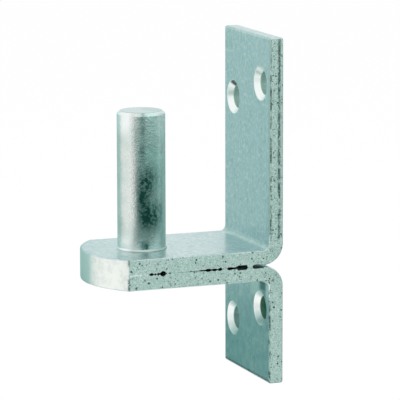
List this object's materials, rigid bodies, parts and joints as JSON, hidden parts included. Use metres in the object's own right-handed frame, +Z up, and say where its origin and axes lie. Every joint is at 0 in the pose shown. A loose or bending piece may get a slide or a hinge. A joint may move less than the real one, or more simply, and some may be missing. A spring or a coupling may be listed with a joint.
{
  "type": "gate hinge pin",
  "caption": "Screw-on gate hinge pin: a folded flat-bar wall plate with a double tongue that carries a riveted, upright round pin for the gate's eye.",
  "frame": {"origin": "on the pin's axis, at the tongue's top face, where the pin's shoulder rests", "axes": "+Z up along the pin, +Y towards the wall, +X across the plate"},
  "size_m": [0.04, 0.0625, 0.1156],
  "materials": {
    "zinc_bar": "bright zinc plate on rolled steel, faintly blue-green, finely pitted",
    "zinc_pin": "bright zinc plate on turned steel, with a blotchy satin sheen"
  },
  "bodies": {
    "root": {"folded_plate": "zinc_bar", "hinge_pin": "zinc_pin"}
  },
  "joints": []
}
